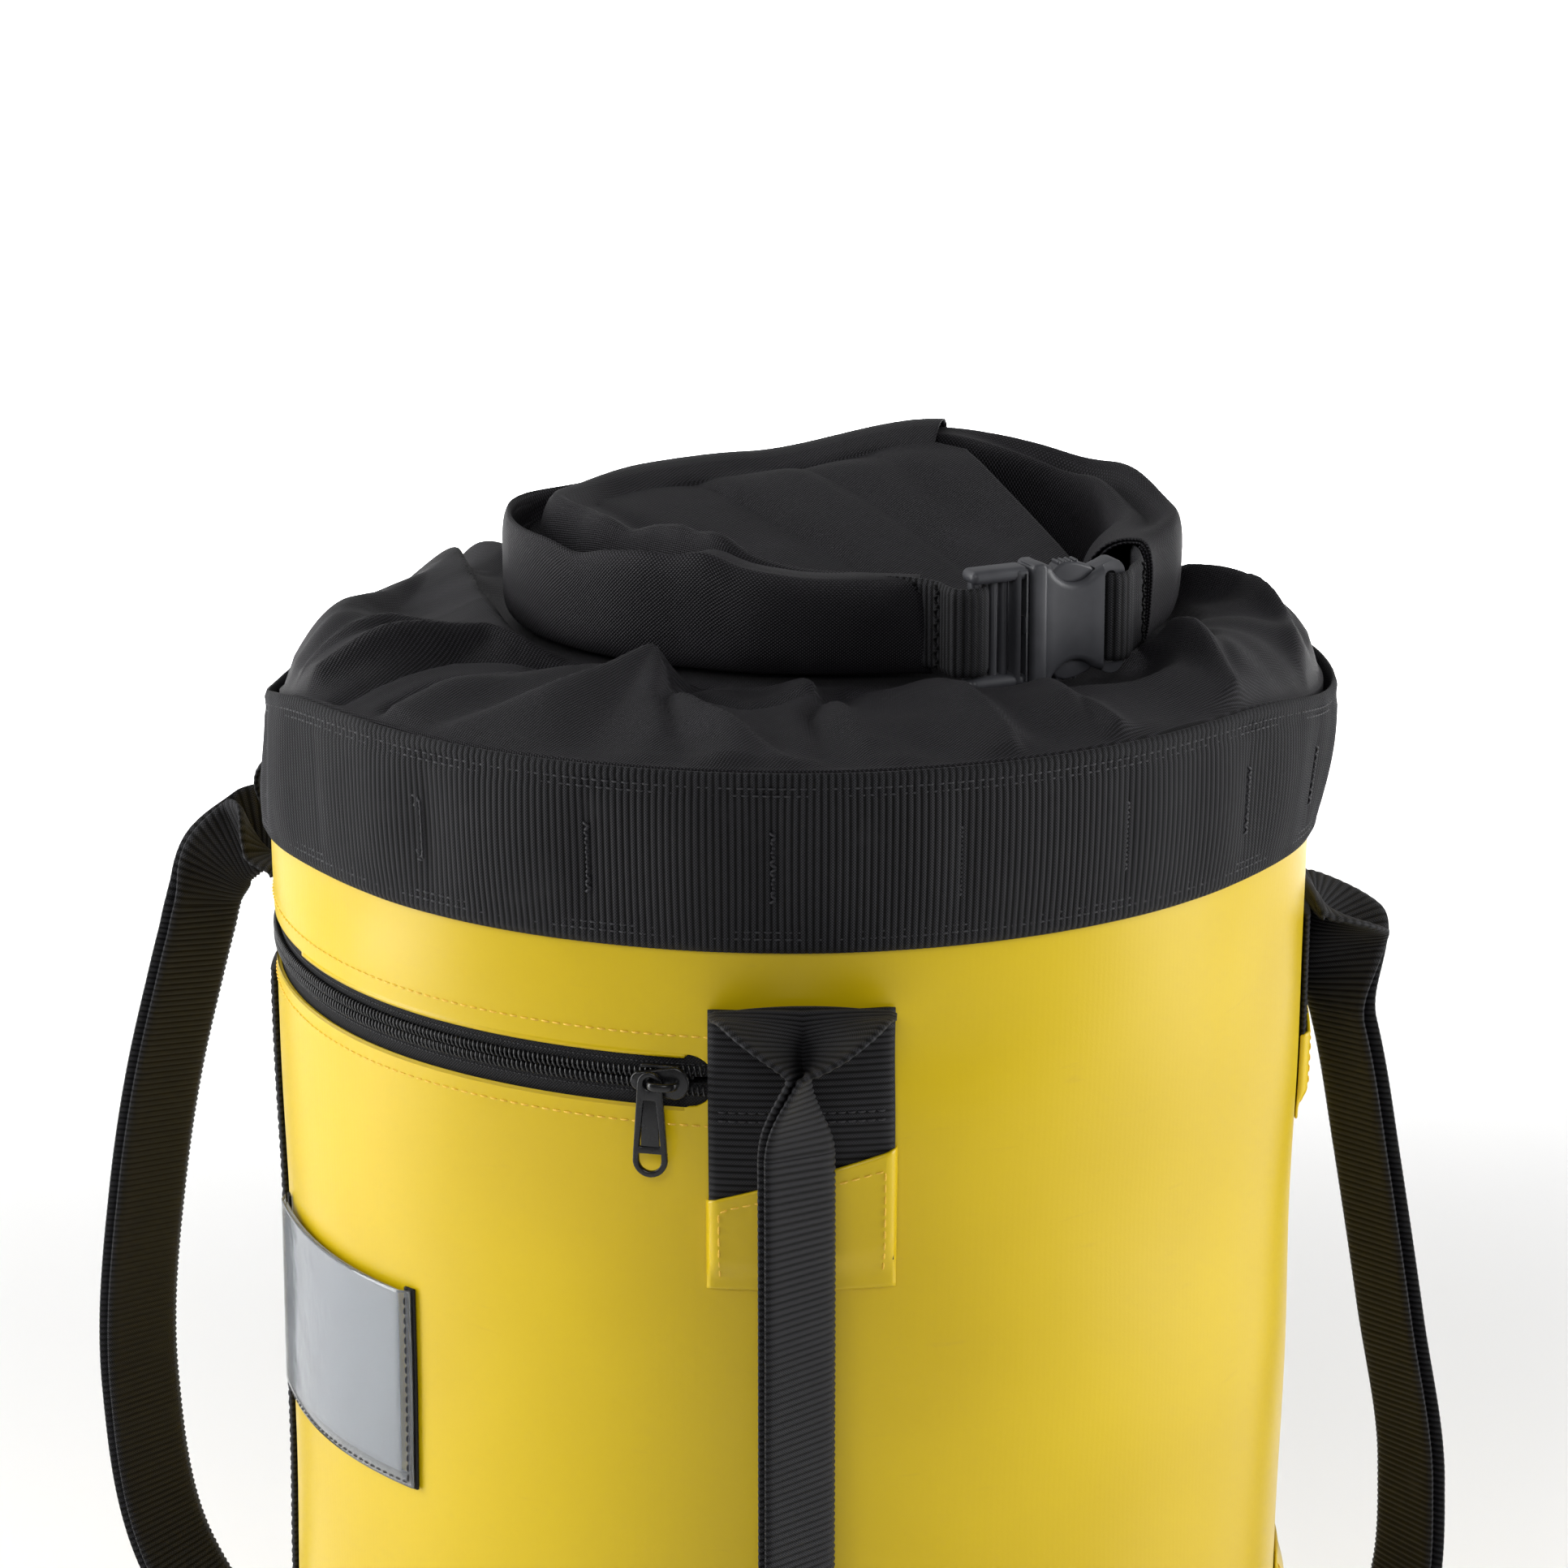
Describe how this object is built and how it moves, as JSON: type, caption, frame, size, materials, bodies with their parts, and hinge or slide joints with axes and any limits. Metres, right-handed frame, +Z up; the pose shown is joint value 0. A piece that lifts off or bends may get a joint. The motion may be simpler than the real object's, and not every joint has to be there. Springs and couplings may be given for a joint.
{
  "type": "roll-top dry bag",
  "caption": "Cylindrical tarpaulin dry bag with a webbing rim band, a rolled fabric closure with a side-release buckle, a curved zip pocket and folded webbing handles.",
  "frame": {"origin": "centre of the round base, on the face that rests on the ground", "axes": "+Z up along the bag, -Y towards the front handle, +X to the right seen from the front"},
  "size_m": [0.4158, 0.3246, 0.478],
  "materials": {
    "tarpaulin": "PVC-coated polyester, satin, welded and sewn",
    "webbing": "woven polyester webbing, ribbed, matt",
    "collar_fabric": "woven polyester, plain weave, matt",
    "stiffener": "flexible polyethylene strip",
    "buckle_plastic": "moulded acetal, satin",
    "zip_tape": "woven zip tape, matt",
    "zip_coil": "nylon coil",
    "zip_metal": "black lacquered zinc",
    "lining": "coated polyester",
    "clear_film": "clear flexible film",
    "card": "blank grey card"
  },
  "bodies": {
    "bag": {"body_wall": "tarpaulin", "base_panel": "tarpaulin", "base_binding": "webbing", "rim_band": "webbing", "inner_rim_band": "webbing", "back_seam_strip": "tarpaulin", "side_binding": "webbing", "gear_loop": "webbing", "collar_skirt": "collar_fabric", "roll": "collar_fabric", "roll_stiffener": "stiffener", "collar_panel": "collar_fabric", "buckle_socket": "buckle_plastic", "left_tail_webbing": "webbing", "right_tail_webbing": "webbing", "zip_tape_upper": "zip_tape", "zip_tape_lower": "zip_tape", "zip_coil_upper": "zip_coil", "zip_coil_lower": "zip_coil", "zip_pocket_lining": "lining", "id_window_frame": "webbing", "id_window": "clear_film", "front_handle_upper_patch": "webbing", "front_handle_lower_patch": "webbing", "front_handle_upper_cover": "tarpaulin", "front_handle_lower_cover": "tarpaulin", "left_handle_upper_patch": "webbing", "left_handle_lower_patch": "webbing", "left_handle_upper_cover": "tarpaulin", "left_handle_lower_cover": "tarpaulin", "right_handle_upper_patch": "webbing", "right_handle_lower_patch": "webbing", "right_handle_upper_cover": "tarpaulin", "right_handle_lower_cover": "tarpaulin"},
    "zip_slider": {"zip_slider": "zip_metal"},
    "zip_pull": {"zip_pull": "zip_metal"},
    "plug": {"buckle_plug": "buckle_plastic"},
    "arm_upper": {"buckle_arm_upper": "buckle_plastic"},
    "arm_lower": {"buckle_arm_lower": "buckle_plastic"},
    "front_strap": {"front_handle_strap": "webbing"},
    "left_strap": {"left_handle_strap": "webbing"},
    "right_strap": {"right_handle_strap": "webbing"},
    "card": {"id_card": "card"}
  },
  "joints": [
    {"name": "zip_slide", "type": "hinge", "parent": "bag", "child": "zip_slider", "pos_m": [0, 0, 0.343], "axis": [0, 0, 1], "range_deg": [-76, 0]},
    {"name": "zip_pull_swing", "type": "hinge", "parent": "zip_slider", "child": "zip_pull", "pos_m": [-0.03708, -0.14949, 0.343], "axis": [-0.225, -0.9744, 0], "range_deg": [-90, 40]},
    {"name": "buckle_release", "type": "slide", "parent": "bag", "child": "plug", "axis": [-0.9063, -0.4226, 0], "range_m": [0, 0.03], "deforming": ["left_tail_webbing", "buckle_arm_upper", "buckle_arm_lower"]},
    {"name": "upper_arm_press", "type": "hinge", "parent": "plug", "child": "arm_upper", "pos_m": [0.06495, -0.07279, 0.4613], "axis": [-0.4226, 0.9063, 0], "range_deg": [0, 12], "stiffness_Nm_per_rad": 0.05},
    {"name": "lower_arm_press", "type": "hinge", "parent": "plug", "child": "arm_lower", "pos_m": [0.06495, -0.07279, 0.4377], "axis": [0.4226, -0.9063, 0], "range_deg": [0, 12], "stiffness_Nm_per_rad": 0.05},
    {"name": "front_handle_swing", "type": "hinge", "parent": "bag", "child": "front_strap", "pos_m": [0.00363, -0.15996, 0.215], "axis": [0, 0, 1], "range_deg": [-30, 30]},
    {"name": "left_handle_swing", "type": "hinge", "parent": "bag", "child": "left_strap", "pos_m": [-0.14779, 0.04802, 0.215], "axis": [0, 0, 1], "range_deg": [-40, 40]},
    {"name": "right_handle_swing", "type": "hinge", "parent": "bag", "child": "right_strap", "pos_m": [0.15481, 0.01354, 0.215], "axis": [0, 0, 1], "range_deg": [-40, 40]},
    {"name": "card_slide", "type": "slide", "parent": "bag", "child": "card", "axis": [0, 0, 1], "range_m": [0, 0.06]}
  ]
}
